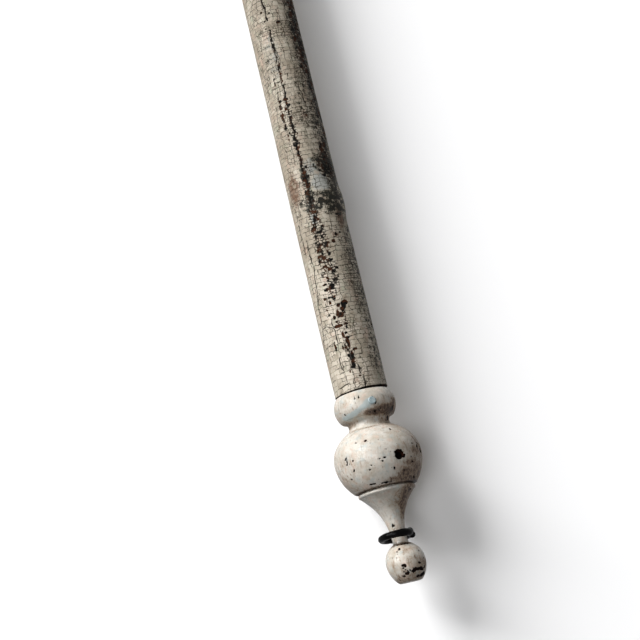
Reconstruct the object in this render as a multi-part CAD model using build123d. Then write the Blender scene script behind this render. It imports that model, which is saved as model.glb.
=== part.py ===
from build123d import *
import math
import os

# A processional cross: a painted wooden staff with a turned finial at its foot,
# a turned knop at its head, and a plain wooden Latin cross standing in the knop.
# Millimetres. Origin at the worn tip of the foot, +Z up the staff, +X to the
# right of someone facing the cross, and -Y towards them.

# Staff
SHAFT_R = 19.0            # 1 1/2 inch round pole
FOOT_JOINT_Z = 132.0      # pole meets foot finial
HEAD_JOINT_Z = 1582.0     # pole meets head knop
TENON_R = 9.45
SOCKET_R = 9.5
TENON_LEN = 42.0
SOCKET_LEN = 43.0

# Collar bead and cove, the same at both ends of the pole
COLLAR_R = 21.9
COLLAR_EDGE_R = 19.2
COLLAR_LEN = 17.5
COVE_R = 14.4
COVE_LEN = 8.0

# Ball of the foot finial
BALL_R = 30.5
BALL_Z = 86.4
BALL_TOP_R = 16.4         # where the cove's fillet line meets the ball
BALL_TOP_HALF = 24.0      # half height above the widest point
BALL_LOW_R = 21.6         # lip over the groove
BALL_LOW_HALF = 31.0      # half height below the widest point
GROOVE_R = 17.6
GROOVE_Z = 64.3

# Flared cone, neck and tip ball of the foot finial
RIM_R = 19.8
RIM_Z = 63.2
NECK_R = 5.25
NECK_Z = 28.0             # the flare starts here
NECK_LOW_Z = 26.2
FLARE_POWER = 2.5
TIP_R = 13.6
TIP_Z = 13.5
TIP_FLAT_R = 7.6          # worn flat that the staff is grounded on, at Z = 0
TIP_LOW_HALF = TIP_Z / math.sqrt(1.0 - (TIP_FLAT_R / TIP_R) ** 2)

# Ring on the neck
RING_R = 10.4             # centre line
RING_WIRE_R = 2.3
RING_Z = 31.4
RING_TILT = 5.0           # degrees, front side up
RING_END_R = 2.6          # upset ends of the bar
RING_END_GAP = 21.0       # degrees between the two ends

# Pegs that lock the tenons
PEG_R = 2.7
PEG_HOLE_R = 2.75
PEG_PROUD = 0.8
PEG_OFFSET = 9.6          # from the end of the pole into the collar
PEG_TURN = 10.4           # degrees round from the front, towards +X

# Head knop, heights above the head joint
KNOP_BALL_H = 50.0
KNOP_GROOVE_H = 74.5
KNOP_COVE_R = 18.2
KNOP_BEAD_H = 91.0
KNOP_BEAD_R = 22.4
KNOP_TOP_H = 102.0
KNOP_TOP_R = 20.4

# Cross
BOARD_T = 24.0
BOARD_W = 42.0
UPRIGHT_LEN = 400.0
BAR_LEN = 280.0
BAR_H = 262.0             # centre of the bar above the knop
BOARD_CHAMFER = 2.5
SPIGOT_W = 18.0           # square foot of the upright
MORTISE_W = 18.1
SPIGOT_LEN = 48.0
MORTISE_LEN = 49.0
LAP_PEG_R = 3.0
LAP_PEG_SPREAD = 12.0

# Turned terminals on the three free ends of the cross
TERMINAL_BASE_R = 15.5
TERMINAL_BASE_T = 4.0
TERMINAL_NECK_R = 5.6
TERMINAL_BALL_H = 21.0
TERMINAL_BALL_R = 13.4
TERMINAL_DOWEL_R = 5.0
TERMINAL_DOWEL_LEN = 22.0
TERMINAL_BORE_LEN = 23.0

SEAT_Z = HEAD_JOINT_Z + KNOP_TOP_H
CROSSING_Z = SEAT_Z + BAR_H


def turned(edges):
    """Solid of revolution about Z, from an outline that starts and ends on the axis."""
    return revolve(make_face(Wire(edges)), Axis.Z)


def path(*points):
    """Straight edges through (radius, height) points in the XZ plane."""
    places = [Vector(r, 0, z) for r, z in points]
    return [Line(a, b).edge() for a, b in zip(places, places[1:])]


def ellipse_edge(centre_z, radius, half, start_z, end_z):
    """Edge of a turned ball between two heights, through its own points."""
    def on_ball(z):
        return Vector(radius * math.sqrt(max(0.0, 1.0 - ((z - centre_z) / half) ** 2)), 0, z)
    steps = 8
    heights = [start_z + (end_z - start_z) * i / steps for i in range(steps + 1)]
    return Spline([on_ball(z) for z in heights]).edge()


def ball_height(centre_z, radius, half, r, side):
    """Height at which a turned ball has the radius r, above (1) or below (-1) its centre."""
    return centre_z + side * half * math.sqrt(1.0 - (r / radius) ** 2)


def bead_edge(low, mid, high):
    """Rounded bead through three (radius, height) points."""
    ends = [Vector(r, 0, z) for r, z in (low, mid, high)]
    return ThreePointArc(*ends).edge()


def collar_edges(joint_z, way):
    """Cove and collar bead beside the pole; way is -1 below the joint, 1 above it."""
    edge_z = joint_z + way * 0.3
    bead_end = joint_z + way * COLLAR_LEN
    cove_mid = bead_end + way * COVE_LEN * 0.55
    cove_end = bead_end + way * COVE_LEN
    bead = bead_edge((COLLAR_EDGE_R, edge_z),
                     (COLLAR_R, joint_z + way * COLLAR_LEN * 0.5),
                     (COLLAR_R - 3.2, bead_end))
    cove = bead_edge((COLLAR_R - 3.2, bead_end), (COVE_R, cove_mid), (BALL_TOP_R, cove_end))
    return bead, cove, cove_end


def peg_place(joint_z, way):
    """Middle of a collar peg, with its Z pointing out at the front of the collar."""
    turn = math.radians(PEG_TURN)
    out = Vector(math.sin(turn), -math.cos(turn), 0)
    return Plane(origin=(0, 0, joint_z + way * PEG_OFFSET), z_dir=out)


def peg_hole(joint_z, way):
    return peg_place(joint_z, way) * Cylinder(PEG_HOLE_R, 2 * COLLAR_R + 10)


def collar_peg(joint_z, way):
    length = 2 * COLLAR_R + PEG_PROUD
    peg = Pos(0, 0, PEG_PROUD / 2) * Cylinder(PEG_R, length)
    rounded = fillet(peg.edges().filter_by(GeomType.CIRCLE), 0.7)
    return peg_place(joint_z, way) * rounded


def shaft():
    low, high = FOOT_JOINT_Z, HEAD_JOINT_Z
    pole = Pos(0, 0, (low + high) / 2) * Cylinder(SHAFT_R, high - low)
    foot_tenon = Pos(0, 0, low - TENON_LEN / 2) * Cylinder(TENON_R, TENON_LEN)
    head_tenon = Pos(0, 0, high + TENON_LEN / 2) * Cylinder(TENON_R, TENON_LEN)
    return pole + foot_tenon + head_tenon - peg_hole(low, -1) - peg_hole(high, 1)


def flare_edge():
    """Concave cone from the neck out to the rim."""
    steps = 7
    points = []
    for i in range(steps + 1):
        u = i / steps
        r = NECK_R + (RIM_R - NECK_R) * u ** FLARE_POWER
        points.append(Vector(r, 0, NECK_Z + (RIM_Z - NECK_Z) * u))
    return Spline(points).edge()


def foot_finial():
    bead, cove, cove_end = collar_edges(FOOT_JOINT_Z, -1)
    ball_top = ball_height(BALL_Z, BALL_R, BALL_TOP_HALF, BALL_TOP_R, 1)
    ball_low = ball_height(BALL_Z, BALL_R, BALL_LOW_HALF, BALL_LOW_R, -1)
    tip_top = ball_height(TIP_Z, TIP_R, TIP_R, NECK_R, 1)
    joint = FOOT_JOINT_Z
    edges = path((0, 0), (TIP_FLAT_R, 0))
    edges.append(ellipse_edge(TIP_Z, TIP_R, TIP_LOW_HALF, 0, TIP_Z))
    edges.append(ellipse_edge(TIP_Z, TIP_R, TIP_R, TIP_Z, tip_top))
    edges += path((NECK_R, tip_top), (NECK_R, NECK_Z))
    edges.append(flare_edge())
    edges += path((RIM_R, RIM_Z), (GROOVE_R, GROOVE_Z), (BALL_LOW_R, ball_low))
    edges.append(ellipse_edge(BALL_Z, BALL_R, BALL_LOW_HALF, ball_low, BALL_Z))
    edges.append(ellipse_edge(BALL_Z, BALL_R, BALL_TOP_HALF, BALL_Z, ball_top))
    edges += path((BALL_TOP_R, ball_top), (BALL_TOP_R, cove_end))
    edges += [cove, bead]
    edges += path((COLLAR_EDGE_R, joint - 0.3), (COLLAR_EDGE_R - 0.3, joint),
                  (0, joint), (0, 0))
    socket = Pos(0, 0, joint - SOCKET_LEN / 2) * Cylinder(SOCKET_R, SOCKET_LEN)
    return turned(edges) - socket - peg_hole(joint, -1)


def foot_ring():
    """Split ring of round bar with two upset ends lying side by side."""
    ring = Torus(RING_R, RING_WIRE_R)
    for side in (-1, 1):
        turn = math.radians(side * RING_END_GAP / 2)
        place = Pos(RING_R * math.cos(turn), RING_R * math.sin(turn), -side * 0.6)
        ring += place * Sphere(RING_END_R)
    return Pos(0, 0, RING_Z) * Rot(-RING_TILT, 0, 0) * ring


def head_knop():
    base = HEAD_JOINT_Z
    bead, cove, cove_end = collar_edges(base, 1)
    ball_z = base + KNOP_BALL_H
    ball_low = ball_height(ball_z, BALL_R, BALL_TOP_HALF, BALL_TOP_R, -1)
    ball_top = ball_height(ball_z, BALL_R, BALL_LOW_HALF, BALL_LOW_R, 1)
    groove_z = base + KNOP_GROOVE_H
    bead_low = base + 2 * KNOP_BEAD_H - KNOP_TOP_H
    edges = path((0, base), (COLLAR_EDGE_R - 0.3, base), (COLLAR_EDGE_R, base + 0.3))
    edges += [bead, cove]
    edges += path((BALL_TOP_R, cove_end), (BALL_TOP_R, ball_low))
    edges.append(ellipse_edge(ball_z, BALL_R, BALL_TOP_HALF, ball_low, ball_z))
    edges.append(ellipse_edge(ball_z, BALL_R, BALL_LOW_HALF, ball_z, ball_top))
    edges += path((BALL_LOW_R, ball_top), (KNOP_COVE_R, groove_z), (KNOP_COVE_R, bead_low))
    edges.append(bead_edge((KNOP_COVE_R, bead_low), (KNOP_BEAD_R, base + KNOP_BEAD_H),
                           (KNOP_TOP_R, SEAT_Z)))
    edges += path((KNOP_TOP_R, SEAT_Z), (0, SEAT_Z), (0, base))
    socket = Pos(0, 0, base + SOCKET_LEN / 2) * Cylinder(SOCKET_R, SOCKET_LEN)
    mortise = Pos(0, 0, SEAT_Z - MORTISE_LEN / 2) * Box(MORTISE_W, MORTISE_W, MORTISE_LEN)
    return turned(edges) - socket - mortise - peg_hole(base, 1)


def lap_peg_places():
    d = LAP_PEG_SPREAD
    return [(x, CROSSING_Z + z) for x in (-d, d) for z in (-d, d)]


def lap_peg(radius, proud):
    return Rot(90, 0, 0) * Cylinder(radius, BOARD_T + 2 * proud)


def drill_lap(board):
    for x, z in lap_peg_places():
        board -= Pos(x, 0, z) * lap_peg(LAP_PEG_R + 0.02, 1.0)
    return board


def chamfered(box, axis):
    return chamfer(box.edges().filter_by(axis), BOARD_CHAMFER)


def cross_upright():
    board = Pos(0, 0, SEAT_Z + UPRIGHT_LEN / 2) * Box(BOARD_W, BOARD_T, UPRIGHT_LEN)
    board = chamfered(board, Axis.Z)
    spigot = Pos(0, 0, SEAT_Z - SPIGOT_LEN / 2) * Box(SPIGOT_W, SPIGOT_W, SPIGOT_LEN)
    lap = Pos(0, -BOARD_T / 4, CROSSING_Z) * Box(BOARD_W, BOARD_T / 2, BOARD_W)
    top = SEAT_Z + UPRIGHT_LEN
    bore = Pos(0, 0, top - TERMINAL_BORE_LEN / 2) * Cylinder(TERMINAL_DOWEL_R + 0.02,
                                                             TERMINAL_BORE_LEN)
    return drill_lap(board + spigot - lap - bore)


def cross_bar():
    bar = Pos(0, 0, CROSSING_Z) * Box(BAR_LEN, BOARD_T, BOARD_W)
    bar = chamfered(bar, Axis.X)
    bar -= Pos(0, BOARD_T / 4, CROSSING_Z) * Box(BOARD_W, BOARD_T / 2, BOARD_W)
    for side in (-1, 1):
        bore = Rot(0, 90, 0) * Cylinder(TERMINAL_DOWEL_R + 0.02, TERMINAL_BORE_LEN)
        bar -= Pos(side * (BAR_LEN - TERMINAL_BORE_LEN) / 2, 0, CROSSING_Z) * bore
    return drill_lap(bar)


def terminal():
    """Turned ball on a short neck, standing on Z = 0, with its dowel below."""
    ball_low = ball_height(TERMINAL_BALL_H, TERMINAL_BALL_R, TERMINAL_BALL_R,
                           TERMINAL_NECK_R, -1)
    bottom = Vector(TERMINAL_NECK_R, 0, ball_low)
    widest = Vector(TERMINAL_BALL_R, 0, TERMINAL_BALL_H)
    crown = Vector(0, 0, TERMINAL_BALL_H + TERMINAL_BALL_R)
    edges = path((0, -TERMINAL_DOWEL_LEN), (TERMINAL_DOWEL_R, -TERMINAL_DOWEL_LEN),
                 (TERMINAL_DOWEL_R, 0), (TERMINAL_BASE_R - 1, 0), (TERMINAL_BASE_R, 1),
                 (TERMINAL_BASE_R, TERMINAL_BASE_T - 1),
                 (TERMINAL_BASE_R - 1, TERMINAL_BASE_T), (TERMINAL_NECK_R, TERMINAL_BASE_T + 2),
                 (TERMINAL_NECK_R, ball_low))
    edges.append(ThreePointArc(bottom, widest, crown).edge())
    edges += path((0, crown.Z), (0, -TERMINAL_DOWEL_LEN))
    return turned(edges)


def lap_pegs():
    return Compound(children=[Pos(x, 0, z) * lap_peg(LAP_PEG_R, 0.5)
                              for x, z in lap_peg_places()])


pieces = {
    "shaft": shaft(),
    "foot_finial": foot_finial(),
    "foot_peg": collar_peg(FOOT_JOINT_Z, -1),
    "foot_ring": foot_ring(),
    "head_knop": head_knop(),
    "head_peg": collar_peg(HEAD_JOINT_Z, 1),
    "cross_upright": cross_upright(),
    "cross_bar": cross_bar(),
    "lap_pegs": lap_pegs(),
    "terminal_top": Pos(0, 0, SEAT_Z + UPRIGHT_LEN) * terminal(),
    "terminal_left": Pos(-BAR_LEN / 2, 0, CROSSING_Z) * Rot(0, -90, 0) * terminal(),
    "terminal_right": Pos(BAR_LEN / 2, 0, CROSSING_Z) * Rot(0, 90, 0) * terminal(),
}

os.makedirs("parts", exist_ok=True)
for name, piece in pieces.items():
    export_step(piece, f"parts/{name}.step")
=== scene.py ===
import math

import bpy
import numpy as np
from mathutils import Matrix, Vector


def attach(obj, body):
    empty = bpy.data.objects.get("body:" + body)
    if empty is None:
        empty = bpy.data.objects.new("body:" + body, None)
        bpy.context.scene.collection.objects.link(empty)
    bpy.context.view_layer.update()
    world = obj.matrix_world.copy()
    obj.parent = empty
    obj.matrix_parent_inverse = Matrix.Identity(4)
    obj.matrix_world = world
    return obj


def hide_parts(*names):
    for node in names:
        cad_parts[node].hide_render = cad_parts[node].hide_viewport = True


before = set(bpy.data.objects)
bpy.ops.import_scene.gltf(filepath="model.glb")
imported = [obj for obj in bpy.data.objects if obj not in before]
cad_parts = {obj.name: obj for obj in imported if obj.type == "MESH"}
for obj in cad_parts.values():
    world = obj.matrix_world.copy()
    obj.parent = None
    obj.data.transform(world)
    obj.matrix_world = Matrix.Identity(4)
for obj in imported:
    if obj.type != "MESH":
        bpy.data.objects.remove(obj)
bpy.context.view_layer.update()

# Lengths below are in millimetres in the row frame, and become metres when a mesh is made.
# "turn" is the share of a full turn round the staff, from the front (-Y) towards +X.
MM = 0.001
TAU = 2.0 * math.pi
TINY = 1e-6

SHAFT_R = 19.0
FOOT_JOINT_Z = 132.0
HEAD_JOINT_Z = 1582.0
TENON_R = 9.45
SOCKET_R = 9.5
TENON_LEN = 42.0
SOCKET_LEN = 43.0
SEAT_Z = 1684.0
CROSSING_Z = 1946.0


# ---------------------------------------------------------------- noise and marks on surfaces

NOISE_ROWS = 2048
NOISE_START = 1000.0
# How strong each finer layer of rough noise is beside the one before it.
FINER_WEIGHT = 0.55
# A point that is this far from every mark, in mm, is simply outside them.
FAR = 9.0


def fade(t):
    return t * t * (3.0 - 2.0 * t)


def smooth(value, low, high):
    return fade(np.clip((value - low) / (high - low), 0.0, 1.0))


def lumps(seed, turn, height, around, step):
    """Smooth noise from -1 to 1 with `around` lumps in a turn and one for each `step` of height."""
    table = np.random.default_rng(seed).uniform(-1.0, 1.0, (NOISE_ROWS, around))
    x = (turn % 1.0) * around
    y = height / step + NOISE_START
    column, row = np.floor(x).astype(int), np.floor(y).astype(int)
    fx, fy = fade(x - column), fade(y - row)
    left, right = column % around, (column + 1) % around
    low, high = row % NOISE_ROWS, (row + 1) % NOISE_ROWS
    lower = table[low, left] * (1.0 - fx) + table[low, right] * fx
    upper = table[high, left] * (1.0 - fx) + table[high, right] * fx
    return lower * (1.0 - fy) + upper * fy


def rough(seed, turn, height, around, step):
    """Noise from -1 to 1 in three layers, each half the size of the one before it."""
    total, weight, size = 0.0, 1.0, 0.0
    for octave in range(3):
        scale = 2 ** octave
        total = total + weight * lumps(seed + octave, turn, height, around * scale, step / scale)
        size += weight
        weight *= FINER_WEIGHT
    return total / size


def even(turn, height, value):
    """The same value at every point of the grid."""
    return np.full(np.broadcast(turn, height).shape, value)


def aside(turn, angle, girth):
    """Distance in mm round the piece from an angle in degrees, by the shorter way."""
    return ((turn - angle / 360.0 + 0.5) % 1.0 - 0.5) * girth


def spots(turn, height, girth, marks):
    """How far each point is inside the nearest of some oval marks, in mm.
    A mark is (degrees from the front, height, half width, half height)."""
    inside = even(turn, height, -FAR)
    for angle, z, half_w, half_h in marks:
        across = aside(turn, angle, girth)
        depth = (1.0 - np.hypot(across / half_w, (height - z) / half_h)) * min(half_w, half_h)
        inside = np.maximum(inside, depth)
    return inside


def zones(turn, height, girth, marks):
    """Soft-edged areas, from 0 to the last number of each mark, which is its strength."""
    total = even(turn, height, 0.0)
    for angle, z, half_w, half_h, strength in marks:
        reach = (aside(turn, angle, girth) / half_w) ** 2 + ((height - z) / half_h) ** 2
        total = np.maximum(total, strength * np.exp(-0.7 * reach ** 1.5))
    return total


def line(turn, height, girth, points, half_width):
    """How far each point is inside a crack drawn through (degrees, height) points, in mm."""
    inside = even(turn, height, -FAR)
    for (a0, z0), (a1, z1) in zip(points, points[1:]):
        across = aside(turn, a0, girth)
        run = (a1 - a0) / 360.0 * girth
        rise = z1 - z0
        along = np.clip((across * run + (height - z0) * rise) / (run ** 2 + rise ** 2), 0.0, 1.0)
        away = np.hypot(across - along * run, height - z0 - along * rise)
        inside = np.maximum(inside, half_width - away)
    return inside


def random_marks(seed, count, low, high, sizes):
    """Marks at random angles and heights, each with a number from every range in sizes.
    The seed may also be a generator that is already in use."""
    random = np.random.default_rng(seed)
    return [(random.uniform(-180, 180), random.uniform(low, high),
             *[random.uniform(*size) for size in sizes]) for _ in range(count)]


# ---------------------------------------------------------------- meshes

def add_object(name, data):
    """A new object in the scene for a mesh, a light or a camera."""
    piece = bpy.data.objects.new(name, data)
    bpy.context.scene.collection.objects.link(piece)
    return piece


def grid_mesh(name, points, fields, caps=None):
    """Closed mesh from rows of points that run round it. A point closes each end: one of the
    two caps, or the middle of the row."""
    rows, columns = points.shape[:2]
    count = rows * columns
    if caps is None:
        caps = (points[0].mean(axis=0), points[-1].mean(axis=0))
    places = np.vstack([points.reshape(-1, 3), *caps]) * MM
    index = np.arange(count).reshape(rows, columns)
    right = np.roll(index, -1, axis=1)
    quads = np.stack([index[:-1], right[:-1], right[1:], index[1:]], axis=-1).reshape(-1, 4)
    bottom = np.stack([right[0], index[0], np.full(columns, count)], axis=-1)
    top = np.stack([index[-1], right[-1], np.full(columns, count + 1)], axis=-1)
    corners = np.concatenate([quads.ravel(), bottom.ravel(), top.ravel()])
    sizes = np.concatenate([np.full(len(quads), 4), np.full(2 * columns, 3)])
    mesh = bpy.data.meshes.new(name)
    mesh.vertices.add(len(places))
    mesh.vertices.foreach_set("co", places.astype(np.float32).ravel())
    mesh.loops.add(len(corners))
    mesh.loops.foreach_set("vertex_index", corners.astype(np.int32))
    mesh.polygons.add(len(sizes))
    starts = np.concatenate([[0], np.cumsum(sizes)[:-1]])
    mesh.polygons.foreach_set("loop_start", starts.astype(np.int32))
    mesh.polygons.foreach_set("use_smooth", np.ones(len(sizes), bool))
    mesh.update(calc_edges=True)
    mesh.validate()
    for field, values in fields.items():
        flat = np.broadcast_to(values, (rows, columns)).ravel()
        flat = np.concatenate([flat, [flat[0], flat[-1]]])
        attribute = mesh.attributes.new(field, "FLOAT", "POINT")
        attribute.data.foreach_set("value", flat.astype(np.float32))
    return add_object(name, mesh)


def finish_piece(piece, body, nodes, material):
    piece.data.materials.append(material)
    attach(piece, body)
    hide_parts(*nodes)


def dense(corners, step):
    """A (radius, height) outline with points every `step` mm along it."""
    corners = np.array(corners, float)
    runs = np.hypot(*np.diff(corners, axis=0).T)
    corners = corners[np.concatenate([[True], runs > TINY])]
    runs = np.hypot(*np.diff(corners, axis=0).T)
    parts = []
    for start, end, run in zip(corners, corners[1:], runs):
        count = max(1, round(run / step))
        share = np.arange(0, count) / count
        parts.append(start + (end - start) * share[:, None])
    return np.vstack([*parts, corners[-1:]])


def outward(along):
    """Unit normals to the right of a direction of travel."""
    normal = np.stack([along[..., 1], -along[..., 0]], axis=-1)
    return normal / np.maximum(np.hypot(normal[..., :1], normal[..., 1:]), 1e-9)


def turned_grid(outline, columns):
    """Turn, height, radius and girth at the points of a turned surface."""
    turn = (np.arange(columns) / columns)[None, :]
    radius, height = outline[:, :1], outline[:, 1:]
    return turn, height, radius, TAU * np.maximum(radius, 1.0)


def turned(outline, turn, relief, shift=0.0):
    """Points of a turned surface: the outline swept round Z and pushed out by the relief.
    The outline is walked with the wood on its left."""
    normal = outward(np.gradient(outline, axis=0))
    radius = outline[:, :1] + relief * normal[:, :1]
    z = outline[:, 1:] + relief * normal[:, 1:]
    x = radius * np.sin(TAU * turn) + shift
    y = -radius * np.cos(TAU * turn)
    return np.stack(np.broadcast_arrays(x, y, z), axis=-1)


def ball(centre_z, radius, half, start_z, end_z, steps):
    """Outline points of a turned ball, evenly spread round its curve."""
    start, end = (math.acos(max(-1.0, min(1.0, (z - centre_z) / half))) for z in (start_z, end_z))
    angles = np.linspace(start, end, steps)
    return [(radius * math.sin(a), centre_z + half * math.cos(a)) for a in angles]


def side_z(centre_z, radius, half, r, side):
    """Height where a ball's outline has radius r, above (1) or below (-1) its middle."""
    return centre_z + side * half * math.sqrt(1.0 - (r / radius) ** 2)


def bow(low, middle, high, steps=16):
    """Outline points of a circular arc through three (radius, height) points."""
    (ax, ay), (bx, by), (cx, cy) = low, middle, high
    d = 2.0 * (ax * (by - cy) + bx * (cy - ay) + cx * (ay - by))
    aa, bb, cc = ax * ax + ay * ay, bx * bx + by * by, cx * cx + cy * cy
    ux = (aa * (by - cy) + bb * (cy - ay) + cc * (ay - by)) / d
    uy = (aa * (cx - bx) + bb * (ax - cx) + cc * (bx - ax)) / d
    radius = math.hypot(ax - ux, ay - uy)
    start, mid, end = (math.atan2(y - uy, x - ux) for x, y in (low, middle, high))
    sweep = (end - start) % TAU
    if (mid - start) % TAU > sweep:
        sweep -= TAU
    angles = start + sweep * np.linspace(0.0, 1.0, steps)
    return [(ux + radius * math.cos(a), uy + radius * math.sin(a)) for a in angles]


# ---------------------------------------------------------------- materials

def srgb(*values):
    """Linear colour from 0-255 screen values."""
    channels = [v / 255.0 for v in values]
    return [c / 12.92 if c <= 0.04045 else ((c + 0.055) / 1.055) ** 2.4 for c in channels] + [1.0]


class Nodes:
    """Short calls for building one procedural material, or the world."""

    def __init__(self, owner, shader="Principled BSDF"):
        owner.use_nodes = True
        self.owner = owner
        self.tree = owner.node_tree
        self.shader = self.tree.nodes[shader]

    def add(self, kind, inputs=(), **settings):
        node = self.tree.nodes.new(kind)
        for key, value in settings.items():
            setattr(node, key, value)
        for key, value in dict(inputs).items():
            self.set(node.inputs[key], value)
        return node

    def set(self, socket, value):
        if isinstance(value, bpy.types.NodeSocket):
            self.tree.links.new(value, socket)
        else:
            socket.default_value = value

    def fix(self, name, value):
        """A number or colour that is the same all over the surface."""
        self.shader.inputs[name].default_value = value

    def field(self, name):
        return self.add("ShaderNodeAttribute", attribute_name=name).outputs["Fac"]

    def place(self, stretch=1.0, offset=0.0):
        """Object coordinates in millimetres, with Z squeezed by `stretch`."""
        coordinates = self.add("ShaderNodeTexCoord").outputs["Object"]
        scale = (1.0 / MM, 1.0 / MM, 1.0 / MM / stretch)
        return self.add("ShaderNodeMapping", {"Vector": coordinates, "Scale": scale,
                                              "Location": (offset, offset, offset)}).outputs[0]

    def flat_place(self, x, y):
        return self.add("ShaderNodeCombineXYZ", {"X": x, "Y": y}).outputs[0]

    def noise(self, place, size, detail=3.0, roughness=0.55):
        return self.add("ShaderNodeTexNoise",
                        {"Vector": place, "Scale": 1.0 / size, "Detail": detail,
                         "Roughness": roughness}).outputs[0]

    def flakes(self, place, width, height, gap):
        """Paint split into flakes of a size in mm, with cracks that are `gap` centimetres wide
        on each side: a random number for each flake, and how much each point is in a crack."""
        node = self.add("ShaderNodeTexBrick",
                        {"Vector": place, "Color1": (0.0, 0.0, 0.0, 1.0),
                         "Color2": (1.0, 1.0, 1.0, 1.0), "Mortar": (0.5, 0.5, 0.5, 1.0),
                         "Scale": 0.1, "Mortar Size": gap, "Mortar Smooth": 0.7, "Bias": 0.0,
                         "Brick Width": width * 0.1, "Row Height": height * 0.1},
                        offset=0.41, offset_frequency=2, squash=0.7, squash_frequency=3)
        return node.outputs["Color"], node.outputs["Fac"]

    def span(self, value, low, high, start=0.0, end=1.0):
        """value from low..high to start..end, held at both."""
        return self.add("ShaderNodeMapRange", {"Value": value, "From Min": low, "From Max": high,
                                               "To Min": start, "To Max": end},
                        interpolation_type="SMOOTHSTEP").outputs[0]

    def calc(self, operation, first, *others):
        for other in others:
            first = self.add("ShaderNodeMath", {0: first, 1: other},
                             operation=operation).outputs[0]
        return first

    def sum(self, *values):
        return self.calc("ADD", *values)

    def times(self, *values):
        return self.calc("MULTIPLY", *values)

    def most(self, *values):
        return self.calc("MAXIMUM", *values)

    def rest(self, value):
        return self.calc("SUBTRACT", 1.0, value)

    def swing(self, value, amount=1.0):
        """A value from 0 to 1 taken about its middle, times an amount."""
        return self.times(self.calc("SUBTRACT", value, 0.5), amount)

    def blend(self, share, low, high):
        return self.add("ShaderNodeMix", {0: share, 2: low, 3: high}).outputs[0]

    def mix(self, below, above, share):
        return self.add("ShaderNodeMix", {6: below, 7: above, 0: share},
                        data_type="RGBA").outputs[2]

    def coats(self, colour, layers):
        """Colours laid over each other. Each layer is its screen values, the value that drives
        it, where that value starts and is full, and how much then covers what is below."""
        for above, value, low, high, cover in layers:
            colour = self.mix(colour, srgb(*above), self.span(value, low, high, 0.0, cover))
        return colour

    def finish(self, colour, roughness, heights):
        """Joins up the shader. Heights are values with the depth in mm that each stands for."""
        self.set(self.shader.inputs["Base Color"], colour)
        self.set(self.shader.inputs["Roughness"], roughness)
        relief = {}
        for height, distance in heights:
            relief = {"Height": height, "Distance": distance * MM, "Strength": 1.0, **relief}
            relief = {"Normal": self.add("ShaderNodeBump", relief).outputs[0]}
        self.set(self.shader.inputs["Normal"], relief["Normal"])
        return self.owner


ALONG_GRAIN = 7.0


def bare_wood(n):
    """Colour of old bare wood with its grain, for tenons, sockets and mortises."""
    grain = n.noise(n.place(ALONG_GRAIN), 1.1, 5.0, 0.6)
    return n.coats(srgb(92, 72, 52), [((150, 124, 96), grain, 0.3, 0.72, 1.0)])


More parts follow.
